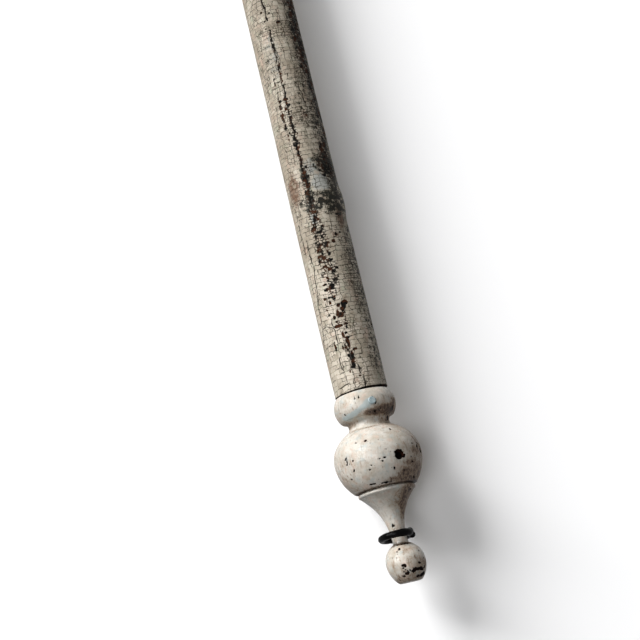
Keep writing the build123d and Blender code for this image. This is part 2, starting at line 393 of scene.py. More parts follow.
def crackled_paint():
    """Off-white paint on the pole and boards: alligatored, stained and flaked to dark undercoat,
    with a painted highlight carried in its tone on the pole's lit side.
    """
    n = Nodes(bpy.data.materials.new("crackled_paint"))
    place = n.place()
    fine = n.noise(place, 0.9, 4.0, 0.65)
    grain = n.noise(n.place(ALONG_GRAIN), 1.3, 4.0, 0.6)
    broad = n.noise(n.place(2.2, 40.0), 13.0, 3.0, 0.6)
    patch = n.noise(n.place(1.6, 90.0), 6.5, 3.0, 0.6)
    smudge = n.noise(n.place(1.4, 31.0), 2.6, 5.0, 0.7)
    rag = n.swing(fine)
    wear, busy, stain, wood = (n.field(name) for name in ("wear", "busy", "stain", "wood"))

    # The flakes are laid out along and round the piece, with their rows a little crooked.
    sway = n.swing(n.noise(place, 3.4), 4.6)
    rise = n.swing(n.noise(n.place(offset=37.0), 3.6), 3.4)
    flat = n.flat_place(n.sum(n.field("around"), sway), n.sum(n.field("along"), rise))
    flake, row = n.flakes(flat, 6.0, 3.3, 0.03)
    gap = n.most(n.times(busy, 0.03), n.sum(n.times(wear, 0.08), -0.006))
    small_flake, small_row = n.flakes(flat, 2.9, 2.0, gap)
    jumble = n.swing(small_flake)
    # Longer cracks run with the grain between them.
    upright = n.flat_place(n.sum(n.field("along"), n.times(rise, 1.1)),
                           n.sum(n.field("around"), n.times(sway, 0.9)))
    strip, seam = n.flakes(upright, 23.0, 5.3, 0.034)

    def patchy(name, low, high, *uneven):
        area = n.field(name)
        return n.times(n.span(n.sum(area, *uneven), low, high), n.span(area, 0.05, 0.3))

    # The tone field also carries a lighter band on the pole that is a painted highlight.
    tone_and_highlight = n.sum(n.field("tone_and_highlight"), n.swing(flake, 0.9), n.swing(strip, 0.4))
    pale = patchy("pale", 0.25, 0.7, n.swing(smudge, 1.6))
    rust = patchy("rust", 0.25, 0.85, n.times(rag, 1.2), n.times(jumble, 0.4))
    uneven = n.sum(n.times(rag, 2.6), n.times(jumble, 1.1), n.swing(smudge, 3.4))
    darkening = n.sum(stain, n.times(uneven, n.span(stain, 0.06, 0.35)))
    paint = n.coats(srgb(153, 144, 129), [
        ((177, 169, 155), broad, 0.36, 0.62, 1.0), ((180, 156, 140), patch, 0.54, 0.72, 0.7),
        ((150, 152, 134), patch, 0.46, 0.28, 0.7), ((112, 98, 80), smudge, 0.5, 0.7, 0.65),
        ((200, 190, 176), tone_and_highlight, 0.1, 0.8, 0.6), ((134, 124, 110), tone_and_highlight, -0.1, -0.9, 0.6),
        ((120, 106, 89), grain, 0.6, 0.78, 0.4)])
    paint = n.mix(paint, srgb(150, 156, 155), n.times(pale, 0.65))
    paint = n.mix(paint, srgb(92, 64, 48), n.times(rust, 0.85))
    paint = n.coats(paint, [((82, 79, 67), darkening, 0.1, 0.75, 0.6),
                            ((20, 21, 18), darkening, 0.55, 0.95, 0.95)])
    under = n.coats(srgb(6, 5, 4), [
        ((28, 29, 25), n.noise(place, 2.6), 0.56, 0.72, 1.0),
        ((54, 30, 16), n.noise(n.place(offset=17.0), 4.6), 0.46, 0.58, 1.0)])

    split = n.sum(n.field("split"), n.times(rag, 0.12))
    crack = n.span(split, 0.1, -0.08)
    deep = n.span(split, -0.12, -0.4)
    lost = n.span(n.sum(n.field("loss"), n.times(rag, 1.2), n.times(jumble, 0.7)), -0.05, 0.08)
    open_row = n.times(small_row, n.span(wear, 0.12, 0.3))
    gone = n.span(n.calc("SUBTRACT", n.times(wear, 0.5), small_flake), -0.01, 0.02)
    lost = n.most(lost, open_row, n.times(gone, n.span(wear, 0.1, 0.2)))
    faint = n.span(n.noise(n.place(offset=55.0), 6.0, 2.0), 0.38, 0.56, 0.3, 1.0)
    seen = n.span(n.noise(n.place(3.0, 66.0), 7.0, 2.0), 0.46, 0.56)
    row = n.times(n.most(n.times(row, faint), n.times(seam, seen)), n.field("net"))
    hair = n.times(small_row, busy, 0.95)
    colour = n.mix(paint, srgb(44, 38, 29), n.most(row, hair))
    colour = n.mix(colour, srgb(30, 25, 19), n.times(crack, 0.9))
    colour = n.mix(colour, srgb(12, 9, 7), deep)
    colour = n.mix(colour, under, lost)
    colour = n.mix(colour, bare_wood(n), wood)
    damage = n.most(crack, lost)
    gloss = n.span(fine, 0.3, 0.7, 0.36, 0.56)
    n.fix("Specular IOR Level", 0.14)
    return n.finish(colour, n.blend(n.most(damage, wood), gloss, 0.85),
                    [(n.rest(damage), 0.12), (n.rest(row), 0.05), (fine, 0.03), (grain, 0.04)])


def worn_paint():
    """Off-white gloss paint on the turned pieces: chipped and speckled, with dirt and painted shade
    darkening its hollows and shaded sides.
    """
    n = Nodes(bpy.data.materials.new("worn_paint"))
    place = n.place()
    fine = n.noise(place, 1.0, 4.0, 0.65)
    broad = n.noise(n.place(offset=25.0), 11.0, 3.0, 0.6)
    patch = n.noise(n.place(offset=70.0), 5.0, 4.0, 0.6)
    streak = n.noise(n.place(5.0, 11.0), 1.6, 4.0, 0.6)
    smudge = n.noise(n.place(offset=31.0), 2.2, 5.0, 0.7)
    nibble = n.noise(n.place(offset=43.0), 0.45, 2.0)
    rag = n.swing(fine)
    wood = n.field("wood")
    dots = n.add("ShaderNodeTexVoronoi", {"Vector": place, "Scale": 1.0 / 2.6})
    speck = n.span(n.sum(dots.outputs["Distance"], n.times(rag, 0.25)), 0.17, 0.08)
    some = n.span(n.noise(n.place(offset=5.0), 7.0, 2.0), 0.45, 0.6)
    darkening = n.field("dirt_and_shade")
    uneven = n.sum(n.times(rag, 1.4), n.swing(streak, 1.8), n.swing(smudge, 1.2))
    dirt_and_shade = n.sum(darkening, n.times(uneven, n.span(darkening, 0.0, 0.4, 0.4, 1.0)))
    blue = n.sum(n.field("blue"), n.times(rag, 0.5))
    paint = n.coats(srgb(172, 165, 153), [
        ((191, 186, 177), broad, 0.38, 0.6, 1.0), ((188, 167, 152), patch, 0.52, 0.7, 0.7),
        ((164, 172, 171), patch, 0.47, 0.32, 0.65), ((140, 121, 102), streak, 0.53, 0.73, 0.48),
        ((146, 126, 107), smudge, 0.54, 0.72, 0.42)])
    paint = n.mix(paint, srgb(78, 58, 44), n.times(speck, some, 0.8))
    # These dark layers show dirt and also painted shade in creases and on shaded sides.
    paint = n.coats(paint, [
        ((116, 97, 78), darkening, 0.2, 1.1, 0.55), ((128, 105, 82), dirt_and_shade, 0.1, 0.85, 0.7),
        ((58, 36, 21), dirt_and_shade, 0.5, 1.3, 0.92), ((18, 11, 8), dirt_and_shade, 1.05, 1.5, 0.95),
        ((157, 170, 171), blue, 0.15, 0.6, 0.8)])
    chip = n.span(n.sum(n.field("chip"), n.times(rag, 1.1), n.swing(nibble, 0.9)), -0.05, 0.1)
    under = n.coats(srgb(8, 4, 3), [((46, 22, 13), n.noise(place, 2.4), 0.5, 0.7, 1.0)])
    colour = n.mix(n.mix(paint, under, chip), bare_wood(n), wood)
    dull = n.most(chip, wood, n.span(dirt_and_shade, 0.2, 0.9, 0.0, 0.6))
    gloss = n.span(n.noise(place, 3.5), 0.35, 0.65, 0.2, 0.32)
    # The bare dark wood in the chips has no gloss.
    n.set(n.shader.inputs["Specular IOR Level"], n.blend(chip, 0.5, 0.04))
    return n.finish(colour, n.blend(dull, gloss, 0.8),
                    [(n.rest(chip), 0.15), (fine, 0.05), (streak, 0.05)])


def peg_paint():
    """Blue-grey paint on the peg ends, rubbed through to wood."""
    n = Nodes(bpy.data.materials.new("peg_paint"))
    rings = n.noise(n.place(), 1.2, 4.0, 0.6)
    worn = n.noise(n.place(offset=9.0), 2.2, 4.0, 0.6)
    colour = n.coats(srgb(130, 147, 151), [((157, 169, 171), rings, 0.35, 0.65, 1.0),
                                           ((104, 84, 62), worn, 0.6, 0.72, 0.8)])
    return n.finish(colour, n.span(rings, 0.3, 0.7, 0.38, 0.6), [(rings, 0.12)])


def black_iron():
    """Thick glossy black over hand-worked iron, with a few dull rubbed places."""
    n = Nodes(bpy.data.materials.new("black_iron"))
    fine = n.noise(n.place(), 0.7, 4.0, 0.6)
    broad = n.noise(n.place(offset=14.0), 4.0)
    colour = n.coats(srgb(2, 2, 2), [((12, 12, 12), broad, 0.5, 0.7, 1.0),
                                     ((46, 42, 39), fine, 0.68, 0.78, 0.5)])
    n.fix("Specular IOR Level", 0.08)
    return n.finish(colour, n.span(broad, 0.35, 0.7, 0.13, 0.28), [(fine, 0.03), (broad, 0.2)])


CRACKLED, WORN, PEG, IRON = crackled_paint(), worn_paint(), peg_paint(), black_iron()


# ---------------------------------------------------------------- the pole

POLE_GIRTH = TAU * SHAFT_R
POLE_COLUMNS = 240
POLE_STEP = 0.5
# The eased edge at the pole's ends.
POLE_EASE = 0.5
SHAFT_SECTIONS = 4

# Areas where the paint has flaked off: degrees from the front, height, half width and
# half height in mm, and the share of flakes lost.
POLE_BARE = [
    (60, 446, 6, 20, 1.0), (56, 415, 6, 18, 1.0), (52, 393, 6, 13, 0.95), (60, 374, 5, 14, 0.9),
    (66, 350, 5, 16, 0.7), (60, 330, 6, 12, 0.6), (48, 316, 4, 8, 0.6),
    (-15, 440, 1.2, 22, 0.5), (-15, 385, 1.4, 34, 0.65), (-16, 330, 2.2, 30, 0.9),
    (-15, 285, 2.6, 20, 0.85), (-16, 262, 4, 9, 0.8), (-22, 249, 2.0, 12, 1.0),
    (-6, 246, 2.6, 14, 0.85), (-14, 240, 4.5, 4, 0.6), (-17, 231, 4.0, 7, 0.8),
    (-5, 222, 4.5, 6, 1.0), (-23, 220, 2.4, 6, 0.75), (-8, 212, 4, 5, 1.0),
    (-14, 203, 4, 5, 0.6), (3, 195, 2.2, 3, 0.7), (-8, 188, 3, 6, 0.55), (-14, 181, 5, 3, 0.5),
    (-10, 166, 2.2, 9, 0.5), (-6, 155, 2.4, 8, 0.55), (22, 244, 4, 6, 0.3),
    (-32, 350, 1.6, 26, 0.5), (30, 345, 10, 18, 0.2), (-6, 297, 6, 8, 0.4), (44, 300, 8, 9, 0.7),
    (70, 420, 8, 50, 0.35), (74, 210, 4, 50, 0.35),
]
# Dark film on the paint.
POLE_STAIN = [
    (62, 412, 9, 40, 0.95), (66, 404, 6, 22, 0.6), (66, 360, 7, 24, 0.95), (52, 328, 9, 16, 0.55),
    (42, 305, 9, 8, 1.2), (62, 298, 9, 14, 1.2), (48, 282, 5, 7, 1.1), (24, 274, 18, 6, 1.15),
    (-12, 270, 5, 6, 0.9), (40, 268, 10, 5, 1.15), (-16, 290, 3, 12, 0.8), (54, 320, 7, 9, 0.9),
    (78, 260, 9, 60, 0.42), (82, 180, 9, 50, 0.45), (60, 215, 10, 50, 0.36), (52, 160, 9, 30, 0.3),
    (30, 350, 14, 50, 0.3), (-40, 400, 8, 60, 0.25),
]
POLE_RUST = [(46, 262, 4.5, 12, 0.9), (-50, 287, 7, 14, 0.75), (70, 340, 6, 20, 0.5),
             (72, 296, 5, 12, 0.5), (70, 400, 6, 40, 0.4)]
POLE_PALE = [(18, 288, 8, 7, 0.9), (2, 300, 6, 8, 0.6), (-16, 262, 3, 6, 0.7),
             (-22, 396, 6, 26, 0.4)]
# Cracks along the grain: their points, and half their width.
POLE_CHECKS = [
    ([(-16.5, 452), (-16.5, 424)], 0.6), ([(-16.2, 419), (-16.4, 410)], 0.45),
    ([(-15.0, 404), (-15.4, 388)], 0.5), ([(-15.7, 386), (-15.4, 372)], 0.55),
    ([(-15.2, 369), (-16.0, 345)], 0.55),
    ([(-15.6, 343), (-14.6, 333), (-16.0, 324)], 0.9), ([(-16.4, 322), (-15.2, 303)], 1.05),
    ([(-15.6, 300), (-14.2, 286)], 0.8), ([(-14.8, 284), (-16.6, 268)], 0.7),
    ([(-14, 264), (-19, 250)], 0.5),
    ([(-47, 248), (-46, 226), (-52, 208), (-55, 200)], 0.4),
    ([(-57, 212), (-60, 186), (-74, 170)], 0.38), ([(-31, 186), (-30, 168)], 0.45),
    ([(-33, 158), (-33, 149)], 0.45), ([(2, 150), (5, 143)], 0.5), ([(7, 141.5), (8.5, 136)], 0.5),
    ([(8.6, 135), (9.4, 131)], 0.42), ([(-62, 262), (-59, 238)], 0.4),
    ([(20, 368), (26, 352)], 0.5), ([(-63, 182), (-50, 182.5), (-35, 180)], 0.4),
    ([(-68, 168), (-40, 169)], 0.36), ([(-50, 136.5), (-25, 138)], 0.36),
    ([(34, 262), (37, 262.6), (44, 261)], 0.55),
]
# Bare dots and blobs.
POLE_DOTS = [
    (-25, 432, 0.8, 0.9), (-8, 430, 0.8, 0.8), (-23, 424, 0.7, 0.7), (8, 421, 1.3, 1.1),
    (-24, 418, 0.7, 0.8), (-31, 357, 0.8, 0.9), (-32, 346, 0.7, 1.6), (-31, 338, 0.6, 1.8),
    (-26, 331, 0.8, 0.8), (22.7, 246.7, 1.1, 1.2), (13.2, 241.6, 1.4, 1.3), (34, 248.2, 0.8, 0.8),
    (-27, 211.5, 2.0, 0.9), (-26.6, 207.5, 1.9, 1.1), (-12, 209.5, 1.6, 1.4),
    (4.9, 195.3, 2.3, 2.1), (1, 193.6, 1.6, 3.0), (-8.7, 194.4, 1.6, 1.3), (-2.5, 190.9, 1.5, 1.7),
    (-9.3, 187.1, 1.9, 1.6), (-23.5, 186.4, 1.3, 1.3), (-21.4, 182.9, 0.8, 0.8),
    (-18.8, 179.7, 3.0, 0.95), (-2.9, 180.4, 1.3, 0.8), (-2.2, 177.4, 0.8, 1.0),
    (-25.5, 197.9, 1.2, 1.2), (-36.4, 189.1, 1.2, 0.8), (-36.5, 193.6, 0.7, 0.6),
    (-36, 201.5, 0.9, 0.8), (-14.1, 172.9, 0.7, 2.2), (-7, 173.7, 1.0, 0.8),
    (-7.5, 166.5, 0.95, 4.2), (-4, 170.2, 2.6, 0.7), (-20.6, 164, 0.9, 1.9), (2.7, 161.1, 1.3, 0.6),
    (-5.2, 156.3, 0.9, 3.2), (-7, 151, 1.3, 3.0), (-12, 148.6, 1.6, 0.8), (-37.2, 166.1, 0.7, 2.6),
    (-13, 157.5, 0.6, 0.7), (-17, 146.5, 0.6, 0.8), (1, 141.6, 0.8, 0.7),
]

# The marks above cover what the photograph shows: the front, up to this height and this far
# to each side in degrees.
SEEN_HEIGHT, SEEN_ANGLE = 470, 95
# How far past a section's ends its marks and cracks are looked for.
MARK_REACH, CHECK_REACH = 60, 90


def all_round(marks, seed, count, sizes):
    """The marks seen at the front of the foot, with others over the pole's back and length."""
    others = random_marks(seed, count, FOOT_JOINT_Z, HEAD_JOINT_Z, sizes)
    return marks + [m for m in others if m[1] > SEEN_HEIGHT or abs(m[0]) > SEEN_ANGLE]


def long_checks(seed, count):
    """Cracks along the grain, over the pole's back and length."""
    random = np.random.default_rng(seed)
    checks = []
    for _ in range(count):
        angle, z = random.uniform(-180, 180), random.uniform(140, 1500)
        if z < SEEN_HEIGHT and abs(angle) < SEEN_ANGLE:
            continue
        length = random.uniform(15, 75)
        middle = (angle + random.uniform(-3, 3), z + length * random.uniform(0.3, 0.7))
        end = (angle + random.uniform(-4, 4), z + length)
        checks.append(([(angle, z), middle, end], random.uniform(0.3, 0.8)))
    return checks


BARE = all_round(POLE_BARE, 11, 150, [(2, 7), (6, 26), (0.25, 0.95)])
STAIN = all_round(POLE_STAIN, 12, 60, [(5, 18), (6, 40), (0.3, 0.95)])
RUST = all_round(POLE_RUST, 13, 26, [(4, 8), (8, 24), (0.4, 0.9)])
PALE = all_round(POLE_PALE, 14, 26, [(4, 9), (6, 24), (0.4, 0.9)])
DOTS = all_round(POLE_DOTS, 15, 420, [(0.6, 2.0), (0.6, 2.4)])
CHECKS = POLE_CHECKS + long_checks(16, 120)


# Depths in mm of the cracks, of the middle of wide cracks, of bare spots and of worn places.
CRACK_DEPTH, DEEP_DEPTH, SPOT_DEPTH, WORN_DEPTH = 0.13, 0.55, 0.2, 0.12
# How far the pole bulges at its dark band.
BULGE = 1.3


def paint_fields(seed, turn, height, girth, bare, dots, checks):
    """Where each point lies along and round a long painted piece, how worn its paint is, and how
    far it is from the larger cracks and inside the bare spots, in mm."""
    def bumps(number, around, step):
        return lumps(seed + number, turn, height, around, step)

    around = aside(turn, 0.0, girth)
    # The net of cracks stops short of the seam at the back.
    net = smooth(girth / 2 - np.abs(around), 0.3, 1.3)
    along = height + 2.6 * bumps(1, 5, 24.0) + 0.4 * bumps(2, 16, 5.0)
    around = around + 1.6 * bumps(3, 6, 16.0) + 0.35 * bumps(4, 30, 4.0)
    busy = net * smooth(0.75 * np.sin(TAU * turn - 0.3) + bumps(60, 7, 18.0), -0.35, 0.6)
    wear = net * zones(turn, height, girth, bare) * (0.85 + 0.45 * bumps(62, 40, 3.0))
    loss = spots(turn, height, girth, dots) + 0.12
    split = even(turn, height, FAR)
    wobble = 0.8 * bumps(70, 60, 3.0) / girth
    ragged = 0.35 * bumps(71, 90, 1.4)
    for points, half in checks:
        middle = points[len(points) // 2][1]
        spread = abs(points[0][1] - points[-1][1]) + 12
        if not (np.abs(height - middle) < spread).any():
            continue
        mark = line(turn + wobble, height, girth, points, half * 0.9) + ragged * min(1.0, half)
        split = np.minimum(split, np.where(mark > -1.0, -mark * 0.9, FAR))
    return {"along": along, "around": around, "net": net, "busy": busy, "wear": wear,
            "split": split, "loss": loss}


def pits(fields):
    """Depth of the larger cracks, the bare spots and the worn places."""
    split, loss = fields["split"], fields["loss"]
    return (-CRACK_DEPTH * smooth(-split, -0.2, 0.2) - DEEP_DEPTH * smooth(-split, 0.2, 1.1)
            - SPOT_DEPTH * smooth(loss, -0.2, 0.25)
            - WORN_DEPTH * smooth(fields["wear"], 0.25, 0.8))


def pole_section(number):
    """One quarter of the pole's length. The real pole is one piece; the looks are cut in four
    so that each carries its paint's detail."""
    length = (HEAD_JOINT_Z - FOOT_JOINT_Z) / SHAFT_SECTIONS
    low = FOOT_JOINT_Z + number * length
    high = low + length
    outline = [(SHAFT_R, low), (SHAFT_R, high)]
    if number == 0:
        outline = [(TENON_R, low - TENON_LEN), (TENON_R, low), (SHAFT_R - POLE_EASE, low),
                   (SHAFT_R, low + POLE_EASE), (SHAFT_R, high)]
    if number == SHAFT_SECTIONS - 1:
        outline = [(SHAFT_R, low), (SHAFT_R, high - POLE_EASE), (SHAFT_R - POLE_EASE, high),
                   (TENON_R, high), (TENON_R, high + TENON_LEN)]
    outline = dense(outline, POLE_STEP)
    turn, height, radius, _ = turned_grid(outline, POLE_COLUMNS)
    skin = np.clip((radius - SHAFT_R + 0.7) / 0.5, 0.0, 1.0)

    def near(marks):
        return [m for m in marks if low - MARK_REACH < m[1] < high + MARK_REACH]

    def areas(marks):
        return zones(turn, height, POLE_GIRTH, near(marks))

    checks = [c for c in CHECKS if low - CHECK_REACH < c[0][0][1] < high + CHECK_REACH]
    fields = paint_fields(100, turn, height, POLE_GIRTH, near(BARE), near(DOTS), checks)
    fields["stain"], fields["rust"], fields["pale"] = areas(STAIN), areas(RUST), areas(PALE)
    # The paint is lightest near the foot, with a painted highlight down the lit side left of the
    # front, and the pole bulges a little at its dark band.
    painted_highlight = zones(turn, height, POLE_GIRTH, [(-20, 185, 6, 60, 1.0)])
    bulge = zones(turn, height, POLE_GIRTH, [(75, 276, 26, 9, 1.0)])
    fields["tone_and_highlight"] = 0.12 - 0.57 * smooth(height, 150.0, 290.0) + 0.6 * painted_highlight
    relief = (0.22 * rough(200, turn, height, 5, 60.0) + 0.1 * rough(210, turn, height, 22, 9.0)
              + pits(fields) + BULGE * bulge)
    points = turned(outline, turn, relief * skin)
    dark_end = (height < low + 0.4) & (radius > TENON_R + 0.5)
    if number == 0:
        # The end is not quite square, so the joint with the finial stands open at the right.
        opening = 1.25 + 0.75 * np.sin(TAU * turn - 0.2)
        face = (radius > TENON_R + 0.3) * smooth(height, low + 14.0, low)
        points[:, :, 2] += opening * face
        fields["loss"] = np.maximum(fields["loss"], np.where(dark_end, 1.0, -1.0))
    fields["wood"] = np.where(dark_end, 0.0, 1.0 - skin)
    caps = ((0, 0, outline[0, 1]), (0, 0, outline[-1, 1]))
    piece = grid_mesh(f"shaft_{number + 1}", points, fields, caps)
    finish_piece(piece, "staff", ["shaft"], CRACKLED)


for number in range(SHAFT_SECTIONS):
    pole_section(number)


# ---------------------------------------------------------------- turned, painted pieces

COLLAR_R, COLLAR_EDGE_R, COLLAR_LEN = 21.9, 19.2, 17.5
COLLAR_END_R = COLLAR_R - 3.2
COVE_R, COVE_LEN = 14.4, 8.0
BALL_R, BALL_Z = 30.5, 86.4
BALL_TOP_R, BALL_TOP_HALF = 16.4, 24.0
BALL_LOW_R, BALL_LOW_HALF = 21.6, 31.0
GROOVE_R, GROOVE_Z = 17.6, 64.3
RIM_R, RIM_Z = 19.8, 63.2
FLARE_END = (RIM_R - 0.9, RIM_Z - 2.4)
NECK_R, NECK_Z, FLARE_POWER = 5.25, 28.0, 2.5
TIP_R, TIP_Z, TIP_FLAT_R = 13.6, 13.5, 7.6
TURNED_COLUMNS = 320
TURNED_STEP = 0.45
# Radius of the small disc that closes an end or a socket.
AXIS_R = 0.4
# Depth in mm of the step at a chip's edge.
CHIP_DEPTH = 0.14
# Towards its tip the finial leans to the right.
LEAN_SLOPE, LEAN_START_Z, LEAN_MOST = 0.0288, 98.0, 2.75


def collar_outline(joint_z, way):
    """Bead and cove beside the pole, walked away from the joint; way is -1 below it, 1 above."""
    bead_end = joint_z + way * COLLAR_LEN
    cove_mid = bead_end + way * COVE_LEN * 0.55
    cove_end = bead_end + way * COVE_LEN
    bead = bow((COLLAR_EDGE_R, joint_z + way * 0.3),
               (COLLAR_R, joint_z + way * COLLAR_LEN * 0.5), (COLLAR_END_R, bead_end))
    cove = bow((COLLAR_END_R, bead_end), (COVE_R, cove_mid), (BALL_TOP_R, cove_end))
    return bead + cove[1:]


def finial_outline():
    """From the flat of the tip up to the joint, and down into the socket."""
    ball_top = side_z(BALL_Z, BALL_R, BALL_TOP_HALF, BALL_TOP_R, 1)
    ball_low = side_z(BALL_Z, BALL_R, BALL_LOW_HALF, BALL_LOW_R, -1)
    tip_half = TIP_Z / math.sqrt(1.0 - (TIP_FLAT_R / TIP_R) ** 2)
    tip_top = side_z(TIP_Z, TIP_R, TIP_R, NECK_R, 1)
    joint = FOOT_JOINT_Z
    outline = [(AXIS_R, 0.0), (TIP_FLAT_R - 0.5, 0.0)]
    outline += ball(TIP_Z, TIP_R, tip_half, 0.35, TIP_Z, 30)
    outline += ball(TIP_Z, TIP_R, TIP_R, TIP_Z, tip_top, 30)[1:]
    outline += [(NECK_R + 0.15, tip_top + 0.3), (NECK_R, NECK_Z)]
    outline += [(NECK_R + (FLARE_END[0] - NECK_R) * share ** FLARE_POWER,
                 NECK_Z + (FLARE_END[1] - NECK_Z) * share) for share in np.linspace(0.05, 1.0, 40)]
    outline += bow(FLARE_END, (RIM_R + 0.15, RIM_Z - 1.0), (RIM_R - 0.7, RIM_Z + 0.3), 8)[1:]
    outline += [(GROOVE_R, GROOVE_Z), (BALL_LOW_R - 0.6, ball_low - 0.15)]
    outline += ball(BALL_Z, BALL_R, BALL_LOW_HALF, ball_low + 0.25, BALL_Z, 50)
    outline += ball(BALL_Z, BALL_R, BALL_TOP_HALF, BALL_Z, ball_top, 50)[1:]
    outline += collar_outline(joint, -1)[::-1]
    outline += [(COLLAR_EDGE_R - 0.3, joint), (SOCKET_R, joint), (SOCKET_R, joint - SOCKET_LEN),
                (AXIS_R, joint - SOCKET_LEN)]
    return dense(outline, TURNED_STEP)


# Chips through the paint of the finial, in degrees, height, half width and half height.
FINIAL_CHIPS = [
    (23.7, 81.5, 3.4, 3.3), (29.6, 80.0, 1.4, 1.6), (18.5, 83.0, 1.3, 1.0), (72, 84.5, 1.6, 2.6),
    (61.1, 86.0, 0.9, 1.6), (66, 88.5, 0.8, 0.9), (50.4, 88.1, 0.5, 0.5),
    (-15.6, 95.1, 0.9, 0.8), (-12.5, 93.8, 0.6, 0.5), (-30.4, 95.8, 0.6, 0.6),
    (-41.8, 77.9, 0.8, 0.9), (-48, 86, 0.5, 1.3), (-45, 82.5, 0.5, 0.7), (-16, 78, 0.6, 0.5),
    (-50.3, 86.8, 0.6, 0.7), (-38, 84.3, 0.7, 0.5), (-49.5, 83.2, 0.6, 0.6), (-53, 73, 0.6, 0.5),
    (3, 84.5, 0.5, 0.5), (8, 86, 0.5, 0.4), (-2, 81, 0.6, 0.4), (14, 73.5, 0.5, 0.8),
    (12.2, 83.8, 0.9, 0.4), (5, 81, 0.8, 0.3), (1.2, 79, 0.5, 0.4), (-20.5, 75.5, 0.5, 0.4),
    (45, 76, 0.7, 0.8), (42, 79, 0.6, 0.6), (29, 71, 0.8, 0.5), (56, 66.4, 1.2, 0.6),
    (-20, 125.5, 0.5, 1.5), (-11, 126.6, 0.5, 0.8), (-48, 118, 0.9, 0.8), (12, 124.8, 0.6, 0.5),
    (27, 100.3, 0.9, 0.9), (60, 59.5, 0.8, 0.7), (14, 115.0, 0.9, 0.8), (26, 116, 0.7, 0.6),
    (62, 117, 1.2, 1.6), (63, 111, 1.0, 1.6), (-27, 66.6, 2.0, 0.35), (0, 65.6, 3.0, 0.4),
    (-25, 38.2, 1.0, 1.1), (-22, 36.4, 0.5, 0.9), (75, 42.1, 0.9, 0.9), (70, 47, 0.5, 0.5),
    (-16.7, 21.7, 0.9, 0.7), (-24, 20.4, 0.5, 0.4), (-44, 17.2, 0.5, 0.5), (-30, 16.6, 0.4, 0.4),
    (49.8, 18.0, 0.6, 0.6), (-13.6, 10.6, 1.7, 1.2), (-19, 9.2, 0.9, 0.9), (-8, 9.8, 0.9, 0.8),
    (-12.5, 8.0, 0.5, 0.4), (-10.6, 5.3, 1.6, 1.0), (-7, 6.6, 0.8, 0.8), (-20, 6.6, 0.4, 0.4),
    (-22, 4.0, 0.7, 0.5), (1, 6.6, 0.5, 0.5), (9.4, 5.9, 1.6, 1.1), (18, 6.9, 1.9, 1.1),
    (27, 6.4, 1.6, 1.2), (36, 6.6, 1.5, 1.2), (46, 6.0, 1.2, 1.1), (56, 7.2, 1.2, 0.9),
    (36, 10.4, 1.4, 0.8), (31, 2.2, 1.8, 0.9), (46, 2.4, 2.4, 1.2), (60, 3.0, 2.4, 1.2),
    (-50, 2.2, 0.8, 0.5), (60, 13, 0.5, 0.5), (-8, 24.9, 1.6, 0.3), (20, 24.9, 2.4, 0.35),
]
# Deeper places, with their depth: the drilled hole in the ball, and three deep chips.
FINIAL_HOLES = [(23.7, 81.5, 2.9, 2.8, 5.0), (-25, 38.2, 0.75, 0.75, 1.6),
                (75, 42.1, 0.7, 0.7, 1.5), (72, 84.8, 1.9, 3.0, 0.9)]
# Dirt, and painted shade under the collar's bead, at the foot of the cove and over the ball's
# shaded lower right, each with its strength.
FINIAL_DIRT_AND_SHADE = [
    (2, 115, 4, 1.8, 0.95), (14, 115.2, 5, 2.4, 1.15), (26, 115.6, 6, 3.0, 1.0),
    (40, 116.3, 6, 3.4, 1.1), (55, 116.6, 7, 4.6, 1.2), (64, 120.5, 5, 4, 0.9),
    (63, 110.6, 3.5, 3.2, 1.0), (78, 114, 8, 8, 0.9), (-6, 105.4, 8, 0.7, 0.75),
    (-38, 118, 12, 4, 0.34), (38, 123.5, 9, 3, 0.32), (8, 112.5, 16, 2.6, 0.3),
    (-10, 108, 16, 2.4, 0.1), (30, 101, 14, 3, 0.3), (-50, 80, 9, 8, 0.25),
    (-42, 7, 9, 5, 0.4), (-5, 3, 16, 3, 0.55), (-24, 14, 8, 4, 0.25), (28, 20, 8, 5, 0.3),
    (-50, 106.4, 8, 0.8, 0.6), (-56, 125, 5, 4, 0.35), (-22, 114.5, 4, 1.6, 0.4),
    (70, 88, 6, 9, 0.6), (84, 78, 9, 14, 0.8), (56, 80, 8, 7, 0.6), (48, 74, 8, 5.5, 0.9),
    (62, 70, 10, 7, 1.05), (34, 69.5, 8, 4.0, 1.1), (22, 66.4, 8, 2.2, 1.0),
    (52, 66, 12, 2.6, 1.2), (95, 100, 30, 20, 0.45), (-80, 66, 20, 4, 0.4),
    (50, 58, 8, 6, 1.0), (44, 53, 5, 7, 0.9), (64, 48, 5, 7, 0.9), (20, 54, 5, 7, 0.45),
    (70, 60, 8, 8, 0.8), (20, 25.2, 12, 1.0, 1.0), (-60, 74, 16, 8, 0.3), (62, 9, 8, 5, 0.7),
    (30, 12, 7, 5, 0.5), (0, 1.5, 60, 2.0, 0.6), (150, 84, 40, 16, 0.5), (-140, 70, 30, 10, 0.5),
    (180, 40, 12, 10, 0.5), (-110, 112, 20, 4, 0.7), (170, 111, 26, 5, 0.8), (180, 122, 16, 8, 0.4),
]
# Blue-grey paint, most of it in a streak round the collar.
FINIAL_BLUE = [(5, 121.8, 4, 2.4, 0.8), (0, 120.6, 3.2, 2.0, 0.8), (-7, 119.6, 3, 1.7, 0.75),
               (-13, 118.6, 3, 1.5, 0.75), (-21, 117.7, 3, 1.5, 0.8), (-29, 116.8, 3, 1.6, 0.85),
               (-40, 116.1, 3.6, 1.7, 0.85), (-51, 115.5, 3.6, 1.8, 0.8), (-44, 72, 4, 3, 0.3),
               (140, 118, 6, 4, 0.5), (-120, 90, 6, 6, 0.35)]
# The open edge of the peg's right side.
PEG_GAP, PEG_GAP_HALF = [(15.5, 124.2), (17.9, 122.6), (17.4, 120.7), (14.6, 119.5)], 0.32


